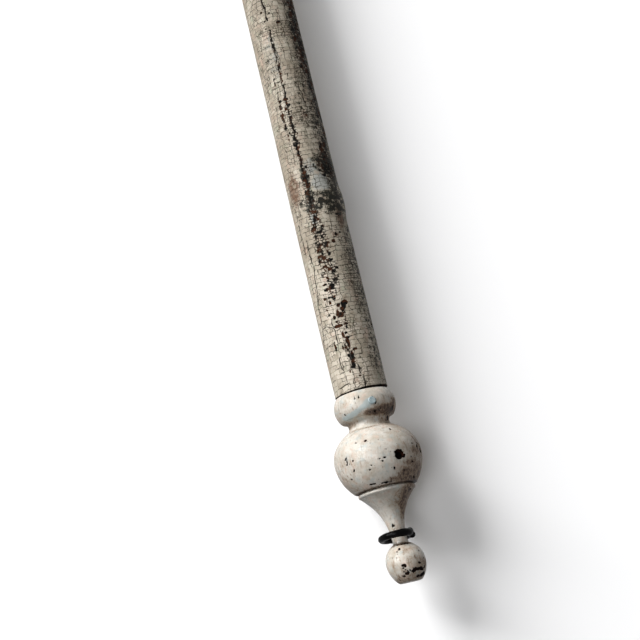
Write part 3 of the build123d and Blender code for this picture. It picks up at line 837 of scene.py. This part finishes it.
def worn_fields(seed, turn, height, girth, chips, dirt_and_shade, blue):
    """How far each point is inside a chip, in mm, how much dirt and painted shade darken it, and
    how blue it is.
    """
    drift = 3.0 * lumps(seed, turn, height, 14, 4.0) / np.maximum(girth, 20.0)
    chip = spots(turn + 0.25 * drift, height, girth, chips)
    ragged = lumps(seed + 1, turn, height, 150, 0.8) + 0.6 * lumps(seed + 4, turn, height, 80, 1.6)
    chip = np.where(chip > 1.0 - FAR, chip + 0.04 + 0.4 * ragged, chip)
    darkening = zones(turn + drift, height, girth, dirt_and_shade)
    darkening = darkening + 0.24 * rough(seed + 2, turn, height, 9, 12.0) + 0.06
    return {"chip": chip, "dirt_and_shade": darkening, "blue": zones(turn, height, girth, blue)}


def worn_relief(seed, turn, height, chip):
    """Hand-turned unevenness, tool lines and the step down into each chip."""
    return (0.12 * rough(seed, turn, height, 6, 14.0)
            + 0.035 * rough(seed + 5, turn, height, 40, 3.0)
            + 0.02 * lumps(seed + 9, turn * 0.0, height, 2, 0.9)
            - CHIP_DEPTH * smooth(chip, -0.12, 0.12))


def foot_finial():
    """Turned foot of the staff, with the marks that the photograph shows."""
    outline = finial_outline()
    turn, height, radius, girth = turned_grid(outline, TURNED_COLUMNS)
    # Past the collar's top edge the outline runs over the face and down the socket.
    top = np.argmax(outline[:, 1] >= FOOT_JOINT_Z - TINY)
    inside = (np.arange(len(outline)) > top + 2)[:, None]
    fields = worn_fields(300, turn, height, girth, FINIAL_CHIPS, FINIAL_DIRT_AND_SHADE, FINIAL_BLUE)
    gap = line(turn, height, girth, PEG_GAP, PEG_GAP_HALF)
    fields["chip"] = np.maximum(fields["chip"], gap)
    # Painted shade in the groove under the ball, laid as dark dirt and thickest at the shaded
    # right.
    right = np.sin(TAU * turn - 0.4) + 0.5 * lumps(330, turn, height * 0.0, 9, 1.0)
    right = smooth(right, -0.5, 0.9)
    groove = np.exp(-((height - GROOVE_Z - 0.1) / (0.4 + 0.7 * right)) ** 2)
    groove = groove * (np.abs(radius - 19.0) < 3.5)
    fields["dirt_and_shade"] = np.maximum(fields["dirt_and_shade"], (0.95 + 0.7 * right) * groove)
    relief = worn_relief(310, turn, height, fields["chip"])
    for *mark, depth in FINIAL_HOLES:
        half_w = mark[2]
        hole = spots(turn, height, girth, [mark])
        hole = hole + 0.6 * lumps(320, turn, height, 70, 2.0) * min(1.0, half_w / 2)
        relief = relief - depth * smooth(hole, -0.15, 0.35 * min(half_w, 1.6))
    lean = np.minimum(LEAN_SLOPE * np.maximum(0.0, LEAN_START_Z - height) * ~inside, LEAN_MOST)
    points = turned(outline, turn, np.where(inside, 0.0, relief), lean)
    # The face at the joint is bare and dark.
    face = (np.abs(height - FOOT_JOINT_Z) < 0.12) & (radius < COLLAR_EDGE_R - 0.4)
    fields = {name: np.where(inside, -1.0, values) for name, values in fields.items()}
    fields["chip"] = np.where(face, 1.0, fields["chip"])
    fields["wood"] = np.where(inside & ~face, 1.0, 0.0)
    caps = ((lean[0, 0], 0, outline[0, 1]), (0, 0, outline[-1, 1]))
    piece = grid_mesh("foot_finial_worn", points, fields, caps)
    finish_piece(piece, "staff", ["foot_finial"], WORN)


foot_finial()


# ---------------------------------------------------------------- head knop

KNOP_BALL_H, KNOP_GROOVE_H, KNOP_COVE_R = 50.0, 74.5, 18.2
KNOP_BEAD_H, KNOP_BEAD_R, KNOP_TOP_H, KNOP_TOP_R = 91.0, 22.4, 102.0, 20.4
MORTISE_W, MORTISE_LEN = 18.1, 49.0
# Where the knop's round top starts to turn into the square of the mortise.
KNOP_FACE_R = MORTISE_W / 2 + 4.4


def head_knop():
    """Turned knop on the pole's upper end, with a square mortise for the cross."""
    base = HEAD_JOINT_Z
    ball_z = base + KNOP_BALL_H
    ball_low = side_z(ball_z, BALL_R, BALL_TOP_HALF, BALL_TOP_R, -1)
    ball_top = side_z(ball_z, BALL_R, BALL_LOW_HALF, BALL_LOW_R, 1)
    bead_low = base + 2 * KNOP_BEAD_H - KNOP_TOP_H
    outline = [(AXIS_R, base + SOCKET_LEN), (SOCKET_R, base + SOCKET_LEN), (SOCKET_R, base),
               (COLLAR_EDGE_R - 0.3, base)]
    outline += collar_outline(base, 1)
    outline += ball(ball_z, BALL_R, BALL_TOP_HALF, ball_low, ball_z, 50)
    outline += ball(ball_z, BALL_R, BALL_LOW_HALF, ball_z, ball_top, 50)[1:]
    outline += [(BALL_LOW_R - 0.6, ball_top + 0.2), (KNOP_COVE_R, base + KNOP_GROOVE_H),
                (KNOP_COVE_R, bead_low)]
    outline += bow((KNOP_COVE_R, bead_low), (KNOP_BEAD_R, base + KNOP_BEAD_H),
                   (KNOP_TOP_R, SEAT_Z - 0.4))[1:]
    outline += [(KNOP_TOP_R - 0.4, SEAT_Z), (KNOP_FACE_R, SEAT_Z)]
    outline = dense(outline, TURNED_STEP)
    turn, height, _, girth = turned_grid(outline, TURNED_COLUMNS)
    # The outline comes down the socket first, and then runs over the face.
    start = np.argmax(outline[:, 1] <= base + TINY)
    inside = (np.arange(len(outline)) < start + 8)[:, None]
    chips = random_marks(41, 60, base, SEAT_Z, [(0.4, 1.5), (0.4, 1.5)])
    dirt_and_shade = random_marks(42, 14, base, SEAT_Z, [(8, 24), (4, 12), (0.3, 0.7)])
    # Dirt with painted shade in the cove between the collar and the ball, all round.
    dirt_and_shade += [(a, base + COLLAR_LEN + 4.0, 18, 4, 0.9) for a in (-150, -60, 40, 120)]
    blue = [(8, base + 9, 4.5, 3.2, 0.8), (-10, base + 12, 4, 2.4, 0.6)]
    fields = worn_fields(400, turn, height, girth, chips, dirt_and_shade, blue)
    # Painted shade, as dark dirt, in the groove above the ball.
    groove = np.exp(-((height - base - KNOP_GROOVE_H) / 1.0) ** 2)
    fields["dirt_and_shade"] = np.maximum(fields["dirt_and_shade"], 1.1 * groove)
    relief = np.where(inside, 0.0, worn_relief(410, turn, height, fields["chip"]))
    relief = relief * np.where(height > SEAT_Z - 0.5, 0.3, 1.0)
    # The top turns from round to the square mortise, then goes down its walls.
    square = MORTISE_W / 2 / np.maximum(np.abs(np.sin(TAU * turn)), np.abs(np.cos(TAU * turn)))
    face = [(KNOP_FACE_R * (1 - share) + (square + 0.25) * share, SEAT_Z)
            for share in np.linspace(0.12, 1.0, 8)]
    walls = [(square, SEAT_Z - depth) for depth in np.linspace(0.3, MORTISE_LEN, 40)]
    rows = [np.stack([r * np.sin(TAU * turn), -r * np.cos(TAU * turn), np.full_like(turn, z)],
                     axis=-1) for r, z in face + walls]
    points = np.concatenate([turned(outline, turn, relief), *rows])
    fields = {name: np.pad(np.where(inside, -1.0, values), ((0, len(rows)), (0, 0)), "edge")
              for name, values in fields.items()}
    fields["wood"] = np.vstack([inside, np.zeros((len(face), 1)), np.ones((len(walls), 1))])
    caps = ((0, 0, base + SOCKET_LEN), (0, 0, SEAT_Z - MORTISE_LEN))
    piece = grid_mesh("head_knop_worn", points, fields, caps)
    finish_piece(piece, "staff", ["head_knop"], WORN)


head_knop()


# ---------------------------------------------------------------- cross boards

BOARD_T, BOARD_W, BOARD_CHAMFER = 24.0, 42.0, 2.5
UPRIGHT_LEN, BAR_LEN = 400.0, 280.0
SPIGOT_W, SPIGOT_LEN, SPIGOT_CHAMFER = 18.0, 48.0, 0.6
BOARD_STEP = 0.8
# How much narrower than the board each ring of points is that closes an end, outermost first.
END_INSETS = (1.2, 8.0, 16.0, 22.0)
# Columns of points along half of a section: the front, a corner, the side, a corner and the
# back. The other half has the same.
BOARD_PARTS = (24, 4, 32, 4, 24)
CORNER_COLUMNS = np.add.outer((0, sum(BOARD_PARTS)), np.cumsum(BOARD_PARTS[:-1])).ravel()
# Ranges for the random marks on a board.
BARE_MARKS = [(3, 9), (6, 24), (0.2, 0.8)]
DOT_MARKS = [(0.6, 2.0), (0.6, 2.2)]
CHECK_MARKS = [(15, 60), (-2, 2), (0.35, 0.7)]
STAIN_MARKS = [(8, 22), (8, 34), (0.3, 0.8)]


def board_section(width, thick, chamfer):
    """Outline of a board's section with eased corners, walked counter-clockwise from the front:
    x across the board, y through it. Each corner falls on a column."""
    w, t, c = width / 2, thick / 2, chamfer
    corners = [(0, -t), (w - c, -t), (w, -t + c), (w, t - c), (w - c, t), (0, t),
               (-w + c, t), (-w, t - c), (-w, -t + c), (-w + c, -t), (0, -t)]
    points = []
    for (x0, y0), (x1, y1), steps in zip(corners, corners[1:], BOARD_PARTS * 2):
        for step in range(steps):
            u = step / steps
            points.append((x0 + (x1 - x0) * u, y0 + (y1 - y0) * u))
    return points


def board(name, node, seed, stations, lap_side, lap_at, place):
    """A long painted board built from sections along its length.
    stations are (distance along, width, thick, chamfer, wood); lap_side is -1 where the front
    half is cut away at the crossing and 1 where the back half is."""
    shape = np.array([board_section(*station[1:4]) for station in stations])
    height = np.array([station[0] for station in stations])[:, None]
    wood = np.array([station[4] for station in stations])[:, None]
    steps = np.hypot(*np.moveaxis(np.roll(shape, -1, axis=1) - shape, -1, 0))
    widest = steps[np.argmax(steps.sum(axis=1))]
    turn = ((np.cumsum(widest) - widest) / widest.sum())[None, :]
    girth = float(widest.sum())
    low, high = float(height.min()), float(height.max())
    random = np.random.default_rng(seed)
    bare = random_marks(random, 26, low, high, BARE_MARKS)
    dots = random_marks(random, 70, low, high, DOT_MARKS)
    checks = [([(angle, z), (angle + drift, z + length)], half) for angle, z, length, drift, half
              in random_marks(random, 12, low, high - 30, CHECK_MARKS)]
    fields = paint_fields(seed, turn, height, girth, bare, dots, checks)
    columns = np.arange(shape.shape[1])
    edge = np.min(np.abs(columns[:, None] - CORNER_COLUMNS), axis=1)
    edge_wear = smooth(2.5 - edge, 0.0, 2.5)[None, :]
    rub = edge_wear * smooth(lumps(seed + 80, turn, height, 16, 9.0), -0.15, 0.7)
    fields["loss"] = np.maximum(fields["loss"], 0.7 * rub - 0.25)
    stain = random_marks(random, 12, low, high, STAIN_MARKS)
    rust = [(angle, z, 7, 14, strength) for angle, z, strength
            in random_marks(random, 5, low, high, [(0.4, 0.8)])]
    fields["stain"] = zones(turn, height, girth, stain)
    fields["rust"] = zones(turn, height, girth, rust)
    fields["pale"] = 0.0
    fields["tone_and_highlight"] = -0.2
    relief = (0.18 * rough(seed + 90, turn, height, 7, 50.0)
              + 0.08 * rough(seed + 95, turn, height, 24, 9.0) + pits(fields) - 0.35 * rub)
    normal = outward(np.roll(shape, -1, axis=1) - np.roll(shape, 1, axis=1))
    skin = shape + (relief * (wood < 0.5))[..., None] * normal
    across, through = skin[..., 0], skin[..., 1]
    cut = (np.abs(height - lap_at) < BOARD_W / 2) & (through * lap_side > 0.0)
    through = np.where(cut, 0.0, through)
    fields["wood"] = np.where(cut, 1.0, wood)
    for field in ("loss", "wear"):
        fields[field] = np.where(fields["wood"] > 0.5, -1.0, fields[field])
    piece = grid_mesh(name, place(across, through, height * np.ones_like(across)), fields)
    finish_piece(piece, "head", [node], CRACKLED)


def board_run(start, end, lap_at):
    """Stations along a board, with a close pair at each edge of the lap."""
    edges = (start, lap_at - BOARD_W / 2, lap_at + BOARD_W / 2, end)
    stations = []
    for a, b in zip(edges, edges[1:]):
        count = max(2, round((b - a) / BOARD_STEP))
        stations += [(at, BOARD_W, BOARD_T, BOARD_CHAMFER, 0.0)
                     for at in np.linspace(a + 0.02, b - 0.02, count)]
    return stations


def board_end(at, insets):
    """Stations that close a board's end."""
    return [(at, BOARD_W - inset, BOARD_T - inset, BOARD_CHAMFER * (1 - inset / BOARD_T), 0.0)
            for inset in insets]


def cross_upright():
    """Standing board of the cross, with its spigot below."""
    foot, top = SEAT_Z - SPIGOT_LEN, SEAT_Z + UPRIGHT_LEN
    wide, thick = BOARD_W - END_INSETS[0], BOARD_T - END_INSETS[0]
    stations = [(foot, SPIGOT_W - 2, SPIGOT_W - 2, SPIGOT_CHAMFER, 1.0)]
    stations += [(z, SPIGOT_W, SPIGOT_W, SPIGOT_CHAMFER, 1.0)
                 for z in np.linspace(foot + 1.0, SEAT_Z - 0.01, 60)]
    stations += [(SEAT_Z, SPIGOT_W + (wide - SPIGOT_W) * share,
                  SPIGOT_W + (thick - SPIGOT_W) * share,
                  SPIGOT_CHAMFER + (BOARD_CHAMFER - SPIGOT_CHAMFER) * share, 0.0)
                 for share in np.linspace(0.2, 0.95, 5)]
    stations.append((SEAT_Z + 0.02, wide, thick, BOARD_CHAMFER, 0.0))
    stations += board_run(SEAT_Z + 0.5, top - 0.6, CROSSING_Z) + board_end(top, END_INSETS)
    board("cross_upright_worn", "cross_upright", 500, stations, -1, CROSSING_Z,
          lambda across, through, along: np.stack([across, through, along], axis=-1))


def cross_bar():
    """Arm board of the cross."""
    half = BAR_LEN / 2
    stations = (board_end(-half, END_INSETS[::-1]) + board_run(-half + 0.6, half - 0.6, 0.0)
                + board_end(half, END_INSETS))
    board("cross_bar_worn", "cross_bar", 600, stations, 1, 0.0,
          lambda across, through, along: np.stack([along, through, CROSSING_Z - across], axis=-1))


cross_upright()
cross_bar()


# ---------------------------------------------------------------- terminals

TERMINAL_BASE_R, TERMINAL_BASE_T, TERMINAL_NECK_R = 15.5, 4.0, 5.6
TERMINAL_BALL_H, TERMINAL_BALL_R = 21.0, 13.4
TERMINAL_COLUMNS, TERMINAL_STEP = 200, 0.5


def terminal(name, seed, place):
    """Turned ball end of the cross, standing on the board's end grain."""
    low = side_z(TERMINAL_BALL_H, TERMINAL_BALL_R, TERMINAL_BALL_R, TERMINAL_NECK_R, -1)
    high = TERMINAL_BALL_H + TERMINAL_BALL_R - 0.01
    outline = [(AXIS_R, 0.02), (TERMINAL_BASE_R - 1, 0.02), (TERMINAL_BASE_R, 1.0),
               (TERMINAL_BASE_R, TERMINAL_BASE_T - 1), (TERMINAL_BASE_R - 1, TERMINAL_BASE_T)]
    outline += bow((TERMINAL_BASE_R - 1, TERMINAL_BASE_T), (8.0, TERMINAL_BASE_T + 0.7),
                   (TERMINAL_NECK_R, TERMINAL_BASE_T + 2))[1:]
    outline += ball(TERMINAL_BALL_H, TERMINAL_BALL_R, TERMINAL_BALL_R, low, high, 60)
    outline = dense(outline, TERMINAL_STEP)
    turn, height, radius, girth = turned_grid(outline, TERMINAL_COLUMNS)
    chips = random_marks(seed, 26, 0, 34, [(0.4, 1.6), (0.4, 1.4)])
    dirt_and_shade = random_marks(seed + 1, 7, 0, 30, [(6, 18), (3, 8), (0.3, 0.8)])
    # Darkened round the foot of the neck: dirt with painted shade in the crease.
    dirt_and_shade += [(a, 6.0, 8, 2.0, 0.9) for a in (-120, 0, 120)]
    fields = worn_fields(seed + 2, turn, height, girth, chips, dirt_and_shade, [(60, 20, 4, 3, 0.4)])
    near_axis = np.clip(radius / 4.0, 0.0, 1.0)
    relief = worn_relief(seed + 3, turn, height, fields["chip"]) * near_axis
    fields["wood"] = 0.0
    piece = grid_mesh(name + "_worn", place(turned(outline, turn, relief)), fields)
    finish_piece(piece, "head", [name], WORN)


def on_top(points):
    """Stands a terminal on the upright's top."""
    return points + np.array([0.0, 0.0, SEAT_Z + UPRIGHT_LEN])


def on_side(side):
    """Stands a terminal on an end of the bar: -1 for the left, 1 for the right."""
    def place(points):
        x, y, z = np.moveaxis(points, -1, 0)
        start = np.array([side * BAR_LEN / 2, 0.0, CROSSING_Z])
        return np.stack([side * z, y, -side * x], axis=-1) + start
    return place


terminal("terminal_top", 700, on_top)
terminal("terminal_left", 720, on_side(-1))
terminal("terminal_right", 740, on_side(1))


# ---------------------------------------------------------------- ring on the neck

RING_R, RING_BAR_R, RING_Z, RING_TILT = 10.4, 2.25, 31.4, 5.0
RING_STEPS, RING_SIDES = 220, 28
# Degrees from the front where the bar starts and ends.
RING_START, RING_END = 88.0, 440.0
# The bar's thickness across the staff, as a share of its thickness along it.
RING_FLAT = 0.94


def foot_ring():
    """Split ring of hand-bent bar; its thickened ends lie one on the other at the right."""
    share = np.linspace(0.0, 1.0, RING_STEPS)
    start, end = math.radians(RING_START), math.radians(RING_END)
    angle = start + (end - start) * share
    bar = RING_BAR_R + 0.07 * rough(800, share, share * 60.0, 12, 6.0)
    ends = np.minimum(share, 1.0 - share) * (end - start) * RING_R
    bar = bar + 0.3 * smooth(share, 0.6, 0.95) + 0.2 * smooth(ends, 3.6, 1.6)
    tip = np.clip(ends / 2.2, 0.0, 1.0)
    bar = bar * np.sqrt(np.maximum(0.0, 1.0 - (1.0 - tip) ** 2)) + 0.02
    lift = 1.3 * smooth(share, 0.93, 1.0) - 0.7 * smooth(share, 0.1, 0.0)
    push = 1.0 * smooth(share, 0.1, 0.0) - 0.1 * smooth(share, 0.92, 1.0)
    radius = RING_R + 0.12 * lumps(805, share, share * 50.0, 8, 9.0) + push
    centre = np.stack([radius * np.sin(angle), -radius * np.cos(angle), lift], axis=-1)
    out = np.stack([np.sin(angle), -np.cos(angle), np.zeros(RING_STEPS)], axis=-1)
    up = np.array([0.0, 0.0, 1.0])
    around = -np.arange(RING_SIDES) / RING_SIDES * TAU
    dents = 1.0 + 0.03 * lumps(810, (around / TAU)[None, :], (share * 90.0)[:, None], 6, 3.0)
    bar = bar[:, None] * dents
    ring = (centre[:, None, :] + (bar * np.cos(around))[..., None] * out[:, None, :] * RING_FLAT
            + (bar * np.sin(around))[..., None] * up)
    tilt = math.radians(RING_TILT)
    x, y, z = np.moveaxis(ring, -1, 0)
    points = np.stack([x, y * math.cos(tilt), z - y * math.sin(tilt) + RING_Z], axis=-1)
    piece = grid_mesh("foot_ring_worn", points, {})
    finish_piece(piece, "ring", ["foot_ring"], IRON)


foot_ring()


# ---------------------------------------------------------------- pegs, kept from the CAD

for node in ("foot_peg", "head_peg", "lap_pegs"):
    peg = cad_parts[node]
    peg.data.materials.clear()
    peg.data.materials.append(PEG)


# ---------------------------------------------------------------- studio, in metres

WALL_Y = 0.0312
FLOOR_Z = -0.08
REACH = 6.0
WHITE = (1.0, 1.0, 1.0, 1.0)
STAGE_COLOUR = (0.93, 0.93, 0.935, 1.0)
# How pale the room is to the eye, how much it lights, and what reflections add to that.
ROOM_SEEN, ROOM_LIGHT, ROOM_MIRRORED = 0.86, 0.1, 0.36


def hide(piece, *rays):
    """Keeps a piece out of the view of some kinds of rays."""
    for ray in rays:
        setattr(piece, "visible_" + ray, False)


def plane(name, corners, material, *hidden):
    mesh = bpy.data.meshes.new(name)
    mesh.from_pydata(corners, [], [(0, 1, 2, 3)])
    mesh.update()
    mesh.materials.append(material)
    piece = add_object(name, mesh)
    hide(piece, *hidden)


def stage_material(name, one_sided):
    """Plain pale surface of the wall, seen from the front only, or of the floor."""
    n = Nodes(bpy.data.materials.new(name))
    n.fix("Base Color", STAGE_COLOUR)
    n.fix("Roughness", 0.95)
    n.fix("Specular IOR Level", 0.1)
    if one_sided:
        other = n.add("ShaderNodeBsdfTransparent")
        share = n.add("ShaderNodeNewGeometry").outputs["Backfacing"]
    else:
        # Far from the lights the floor is as pale as the backdrop.
        other = n.add("ShaderNodeEmission", {"Color": WHITE, "Strength": ROOM_SEEN})
        away = n.add("ShaderNodeVectorMath", {0: n.place()}, operation="LENGTH").outputs["Value"]
        share = n.span(away, 600.0, 4200.0)
    both = n.add("ShaderNodeMixShader", {0: share, 1: n.shader.outputs[0], 2: other.outputs[0]})
    n.set(n.tree.nodes["Material Output"].inputs["Surface"], both.outputs[0])
    return n.owner


plane("wall", [(-REACH, WALL_Y, FLOOR_Z), (REACH, WALL_Y, FLOOR_Z),
               (REACH, WALL_Y, 2 * REACH), (-REACH, WALL_Y, 2 * REACH)],
      stage_material("wall_white", True), "shadow", "diffuse", "glossy")
plane("floor", [(-REACH, -REACH, FLOOR_Z), (REACH, -REACH, FLOOR_Z),
                (REACH, REACH, FLOOR_Z), (-REACH, REACH, FLOOR_Z)],
      stage_material("floor_white", False), "shadow", "diffuse", "glossy")

# The camera looks up the foot at the photograph's angle, rolled so that the staff leans.
CAMERA_PLACE = (-0.0693, -0.8223, -0.0414)
CAMERA_TURN, CAMERA_RISE, CAMERA_ROLL = 3.659, 15.807, -13.205
CAMERA_LENS, CAMERA_SENSOR, CAMERA_NEAR = 67.5, 36.0, 0.01

camera_data = bpy.data.cameras.new("camera")
camera_data.lens = CAMERA_LENS
camera_data.sensor_width = CAMERA_SENSOR
camera_data.clip_start = CAMERA_NEAR
camera = add_object("camera", camera_data)
aim = (Matrix.Rotation(math.radians(-CAMERA_TURN), 4, "Z")
       @ Matrix.Rotation(math.radians(90.0 + CAMERA_RISE), 4, "X")
       @ Matrix.Rotation(math.radians(CAMERA_ROLL), 4, "Z"))
camera.matrix_world = Matrix.Translation(CAMERA_PLACE) @ aim
bpy.context.scene.camera = camera


def softbox(name, place, target, width, height, watts, *hidden):
    """Rectangular lamp that faces its target."""
    data = bpy.data.lights.new(name, "AREA")
    data.shape = "RECTANGLE"
    data.size, data.size_y = width, height
    data.energy = watts
    lamp = add_object(name, data)
    lamp.location = place
    direction = Vector(target) - Vector(place)
    lamp.rotation_euler = direction.to_track_quat("-Z", "Y").to_euler()
    hide(lamp, *hidden)


softbox("key", (-5.84, -4.14, 7.3), (0.0, 0.0, 0.3), 5.2, 5.2, 2060.0, "glossy")
# Two tall strips that show only as the soft highlight on glossy paint and iron.
softbox("strip_left", (-2.24, -1.46, 1.05), (0.0, 0.0, 0.09), 0.4, 2.0, 31.0, "diffuse")
softbox("strip_right", (-1.7, -2.05, 1.05), (0.0, 0.0, 0.09), 0.4, 2.0, 31.0, "diffuse")
softbox("front", (-1.2, -3.6, -0.5), (0.0, 0.0, 0.2), 2.0, 2.0, 52.0)
softbox("behind", (0.5, 4.0, 2.2), (0.0, 0.0, 1.0), 2.4, 2.4, 150.0, "glossy")
softbox("side", (3.4, 1.5, 1.1), (0.0, 0.0, 0.9), 2.0, 2.0, 32.0, "glossy")

# The room is pale to the eye, dimmer in reflections, and gives only a little light.
world = bpy.data.worlds.new("studio")
room = Nodes(world, "Background")
ray = room.add("ShaderNodeLightPath").outputs
strength = room.add("ShaderNodeMapRange", {"Value": ray["Is Camera Ray"], "To Min": ROOM_LIGHT,
                                           "To Max": ROOM_SEEN}).outputs[0]
strength = room.add("ShaderNodeMath", {0: ray["Is Glossy Ray"], 1: ROOM_MIRRORED, 2: strength},
                    operation="MULTIPLY_ADD").outputs[0]
room.fix("Color", WHITE)
room.set(room.shader.inputs["Strength"], strength)
bpy.context.scene.world = world
bpy.context.scene.view_settings.view_transform = "Standard"
